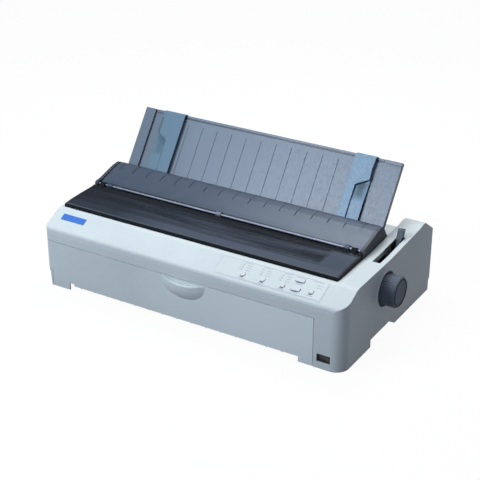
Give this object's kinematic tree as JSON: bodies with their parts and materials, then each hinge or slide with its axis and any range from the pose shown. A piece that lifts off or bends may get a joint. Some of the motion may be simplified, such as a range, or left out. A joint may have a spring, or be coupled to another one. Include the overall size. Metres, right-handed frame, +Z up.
{
  "type": "dot matrix printer",
  "caption": "Wide-carriage dot matrix printer with smoked and ribbed top covers, folding sheet guide with sliding edge guides, platen knob and drop-down front.",
  "frame": {"origin": "centre of the bounding box in plan, on the surface that the rubber feet stand on", "axes": "+X to the right as seen from the front, +Y from the front to the rear, +Z up"},
  "size_m": [0.639, 0.369, 0.2588],
  "materials": {
    "case": "fine texture",
    "front": "fine texture",
    "film": "satin",
    "badge": "gloss",
    "button": "satin",
    "lens": "gloss",
    "dark": "fine texture",
    "smoke": "smoked",
    "guide": "fine texture",
    "blue": "satin",
    "teal": "satin",
    "knob": "fine texture",
    "rubber": "matt",
    "steel": "plated",
    "chrome": "polished",
    "motor": "satin",
    "nylon": "natural",
    "brass": "machined",
    "black": "moulded",
    "head": "die cast",
    "board": "solder mask",
    "fabric": "inked ribbon"
  },
  "bodies": {
    "case": {"lower_case": "case", "upper_case": "case", "rubber_feet": "rubber", "case_screws": "steel", "badge": "badge", "panel_film": "film", "panel_lenses": "lens", "control_board": "board", "cheeks": "dark", "hinge_rod": "chrome", "base_plate": "steel", "left_frame": "steel", "right_frame": "steel", "paper_chute": "black", "guide_shafts": "chrome", "front_rail": "steel", "timing_belt": "rubber", "carriage_motor": "motor", "feed_motor": "motor", "ribbon_cartridge": "black", "ribbon": "fabric", "main_board": "board", "power_board": "board", "rear_sockets": "black", "switch_housing": "black"},
    "front_cover": {"front_cover": "front"},
    "printer_cover": {"printer_cover": "smoke"},
    "sheet_guide_cover": {"sheet_guide_cover": "dark"},
    "sheet_guide": {"sheet_guide": "guide"},
    "edge_guide_left": {"edge_guide_left": "blue"},
    "edge_guide_right": {"edge_guide_right": "blue"},
    "platen": {"knob": "knob", "platen_shaft": "steel", "platen": "rubber", "platen_gear": "nylon"},
    "idler": {"idler_gear": "nylon"},
    "tractor_drive": {"tractor_shaft": "steel"},
    "reducer": {"reduction_gear": "nylon"},
    "pinion": {"feed_pinion": "brass"},
    "carriage": {"carriage": "black", "print_head": "head"},
    "drive_pulley": {"drive_pulley": "steel"},
    "idler_pulley": {"idler_pulley": "nylon"},
    "ribbon_knob": {"ribbon_knob": "knob"},
    "bail": {"paper_bail": "steel", "bail_rollers": "rubber"},
    "tractor_left": {"tractor_left": "black"},
    "tractor_right": {"tractor_right": "black"},
    "sprocket_left": {"sprocket_left": "nylon"},
    "sprocket_right": {"sprocket_right": "nylon"},
    "tractor_door_left": {"tractor_door_left": "black"},
    "tractor_door_right": {"tractor_door_right": "black"},
    "release_lever": {"release_lever": "teal"},
    "power_switch": {"power_switch": "black"},
    "font_button": {"font_button": "button"},
    "pitch_button": {"pitch_button": "button"},
    "tear_button": {"tear_button": "button"},
    "load_button": {"load_button": "button"},
    "feed_button": {"feed_button": "button"},
    "pause_button": {"pause_button": "button"}
  },
  "joints": [
    {"name": "front_cover_hinge", "type": "hinge", "parent": "case", "child": "front_cover", "pos_m": [-0.0375, -0.1675, 0.016], "axis": [1, 0, 0], "range_deg": [0, 84]},
    {"name": "printer_cover_hinge", "type": "hinge", "parent": "case", "child": "printer_cover", "pos_m": [-0.0315, -0.0225, 0.1505], "axis": [-1, 0, 0], "range_deg": [0, 66]},
    {"name": "sheet_guide_cover_hinge", "type": "hinge", "parent": "case", "child": "sheet_guide_cover", "pos_m": [-0.0315, -0.0225, 0.1505], "axis": [1, 0, 0], "range_deg": [0, 58]},
    {"name": "sheet_guide_hinge", "type": "hinge", "parent": "case", "child": "sheet_guide", "pos_m": [-0.0285, 0.0545, 0.14109], "axis": [-1, 0, 0], "range_deg": [0, 52]},
    {"name": "edge_guide_left_slide", "type": "slide", "parent": "sheet_guide", "child": "edge_guide_left", "axis": [1, 0, 0], "range_m": [-0.012, 0.15]},
    {"name": "edge_guide_right_slide", "type": "slide", "parent": "sheet_guide", "child": "edge_guide_right", "axis": [1, 0, 0], "range_m": [-0.15, 0.012]},
    {"name": "platen_spin", "type": "hinge", "parent": "case", "child": "platen", "pos_m": [0.2905, -0.0205, 0.092], "axis": [1, 0, 0], "continuous": true},
    {"name": "idler_spin", "type": "hinge", "parent": "case", "child": "idler", "pos_m": [-0.2945, 0.0145, 0.092], "axis": [1, 0, 0], "continuous": true},
    {"name": "tractor_drive_spin", "type": "hinge", "parent": "case", "child": "tractor_drive", "pos_m": [-0.2945, 0.0395, 0.092], "axis": [1, 0, 0], "continuous": true},
    {"name": "reducer_spin", "type": "hinge", "parent": "case", "child": "reducer", "pos_m": [-0.2995, -0.003, 0.06169], "axis": [1, 0, 0], "continuous": true},
    {"name": "pinion_spin", "type": "hinge", "parent": "case", "child": "pinion", "pos_m": [-0.3025, 0.02038, 0.04819], "axis": [1, 0, 0], "continuous": true},
    {"name": "carriage_slide", "type": "slide", "parent": "case", "child": "carriage", "axis": [1, 0, 0], "range_m": [-0.085, 0.255]},
    {"name": "drive_pulley_spin", "type": "hinge", "parent": "case", "child": "drive_pulley", "pos_m": [-0.2575, -0.1015, 0.0445], "axis": [0, 1, 0], "range_deg": [-620, 1840]},
    {"name": "idler_pulley_spin", "type": "hinge", "parent": "case", "child": "idler_pulley", "pos_m": [0.1925, -0.1015, 0.0445], "axis": [0, 1, 0], "range_deg": [-620, 1840]},
    {"name": "ribbon_knob_spin", "type": "hinge", "parent": "case", "child": "ribbon_knob", "pos_m": [-0.248, -0.10175, 0.11], "axis": [0, 0, 1], "continuous": true},
    {"name": "bail_lift", "type": "hinge", "parent": "case", "child": "bail", "pos_m": [-0.0315, 0.0205, 0.112], "axis": [-1, 0, 0], "range_deg": [0, 20]},
    {"name": "tractor_left_slide", "type": "slide", "parent": "case", "child": "tractor_left", "axis": [1, 0, 0], "range_m": [-0.01, 0.12]},
    {"name": "tractor_right_slide", "type": "slide", "parent": "case", "child": "tractor_right", "axis": [1, 0, 0], "range_m": [-0.15, 0.01]},
    {"name": "sprocket_left_spin", "type": "hinge", "parent": "tractor_left", "child": "sprocket_left", "pos_m": [-0.2195, 0.0395, 0.092], "axis": [1, 0, 0], "continuous": true},
    {"name": "sprocket_right_spin", "type": "hinge", "parent": "tractor_right", "child": "sprocket_right", "pos_m": [0.1565, 0.0395, 0.092], "axis": [1, 0, 0], "continuous": true},
    {"name": "tractor_door_left_hinge", "type": "hinge", "parent": "tractor_left", "child": "tractor_door_left", "pos_m": [-0.2275, 0.0395, 0.1044], "axis": [0, -1, 0], "range_deg": [0, 95]},
    {"name": "tractor_door_right_hinge", "type": "hinge", "parent": "tractor_right", "child": "tractor_door_right", "pos_m": [0.1485, 0.0395, 0.1044], "axis": [0, -1, 0], "range_deg": [0, 95]},
    {"name": "release_lever_hinge", "type": "hinge", "parent": "case", "child": "release_lever", "pos_m": [0.2735, 0.0275, 0.056], "axis": [1, 0, 0], "range_deg": [0, 48]},
    {"name": "power_switch_hinge", "type": "hinge", "parent": "case", "child": "power_switch", "pos_m": [0.255, -0.1655, 0.02], "axis": [0, 0, 1], "range_deg": [0, 14]},
    {"name": "font_button_press", "type": "slide", "parent": "case", "child": "font_button", "axis": [0, 0.4472, -0.8944], "range_m": [0, 0.0011], "stiffness_N_per_m": 300},
    {"name": "pitch_button_press", "type": "slide", "parent": "case", "child": "pitch_button", "axis": [0, 0.4472, -0.8944], "range_m": [0, 0.0011], "stiffness_N_per_m": 300},
    {"name": "tear_button_press", "type": "slide", "parent": "case", "child": "tear_button", "axis": [0, 0.4472, -0.8944], "range_m": [0, 0.0011], "stiffness_N_per_m": 300},
    {"name": "load_button_press", "type": "slide", "parent": "case", "child": "load_button", "axis": [0, 0.4472, -0.8944], "range_m": [0, 0.0011], "stiffness_N_per_m": 300},
    {"name": "feed_button_press", "type": "slide", "parent": "case", "child": "feed_button", "axis": [0, 0.4472, -0.8944], "range_m": [0, 0.0011], "stiffness_N_per_m": 300},
    {"name": "pause_button_press", "type": "slide", "parent": "case", "child": "pause_button", "axis": [0, 0.4472, -0.8944], "range_m": [0, 0.0011], "stiffness_N_per_m": 300}
  ],
  "couplings": [
    {"joint": "idler_spin", "follows": "platen_spin", "ratio": -2.5},
    {"joint": "tractor_drive_spin", "follows": "platen_spin", "ratio": 1.6667},
    {"joint": "reducer_spin", "follows": "platen_spin", "ratio": -2.5},
    {"joint": "pinion_spin", "follows": "platen_spin", "ratio": 7.1429},
    {"joint": "sprocket_left_spin", "follows": "platen_spin", "ratio": 1.6667},
    {"joint": "sprocket_right_spin", "follows": "platen_spin", "ratio": 1.6667},
    {"joint": "drive_pulley_spin", "follows": "carriage_slide", "rad_per_m": 125},
    {"joint": "idler_pulley_spin", "follows": "carriage_slide", "rad_per_m": 125}
  ]
}
